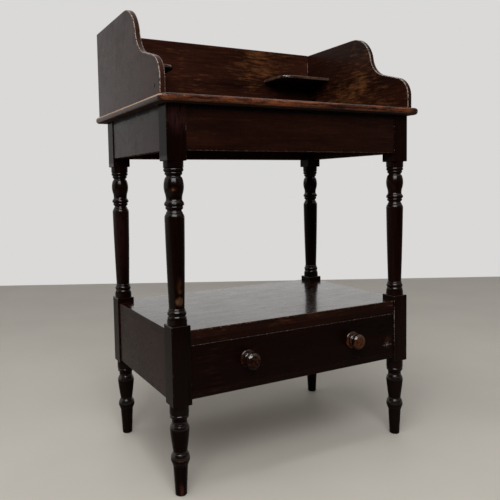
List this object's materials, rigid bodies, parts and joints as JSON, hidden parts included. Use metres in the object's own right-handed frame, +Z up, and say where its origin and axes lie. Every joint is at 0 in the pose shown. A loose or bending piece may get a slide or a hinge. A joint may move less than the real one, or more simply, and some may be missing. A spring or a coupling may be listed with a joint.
{
  "type": "washstand",
  "caption": "Wooden washstand with a shaped gallery and corner shelves round its top, turned legs, an open lower shelf and a sliding drawer with turned knobs.",
  "frame": {"origin": "on the floor, under the middle of the whole stand with its knobs and top board", "axes": "+Z up, +X to the right across the front, +Y from the front to the back"},
  "size_m": [0.639, 0.431, 0.9715],
  "materials": {
    "polished_wood": "dark stained and polished, worn at the edges",
    "knob_wood": "turned, stained and polished, rubbed on the face",
    "inner_wood": "plain planed softwood, browned with age",
    "iron": "dull iron"
  },
  "bodies": {
    "stand": {"apron_back": "polished_wood", "apron_front": "polished_wood", "apron_left": "polished_wood", "apron_right": "polished_wood", "corner_shelf_left": "polished_wood", "corner_shelf_right": "polished_wood", "drawer_guide_left": "inner_wood", "drawer_guide_right": "inner_wood", "drawer_kicker_left": "inner_wood", "drawer_kicker_right": "inner_wood", "drawer_rail_lower": "polished_wood", "drawer_rail_upper": "polished_wood", "drawer_runner_left": "inner_wood", "drawer_runner_right": "inner_wood", "drawer_stops": "inner_wood", "gallery_back": "polished_wood", "gallery_left": "polished_wood", "gallery_nails": "iron", "gallery_right": "polished_wood", "gallery_screws": "iron", "leg_back_left": "polished_wood", "leg_back_right": "polished_wood", "leg_front_left": "polished_wood", "leg_front_right": "polished_wood", "lower_panel_back": "polished_wood", "lower_panel_left": "polished_wood", "lower_panel_right": "polished_wood", "lower_shelf": "polished_wood", "top_board": "polished_wood", "top_glue_blocks": "inner_wood"},
    "drawer": {"drawer_front": "polished_wood", "drawer_side_left": "inner_wood", "drawer_side_right": "inner_wood", "drawer_back": "inner_wood", "drawer_bottom": "inner_wood", "drawer_bottom_nails": "iron", "knob_left": "knob_wood", "knob_right": "knob_wood"}
  },
  "joints": [
    {"name": "drawer_slide", "type": "slide", "parent": "stand", "child": "drawer", "axis": [0, -1, 0], "range_m": [0, 0.26]}
  ]
}
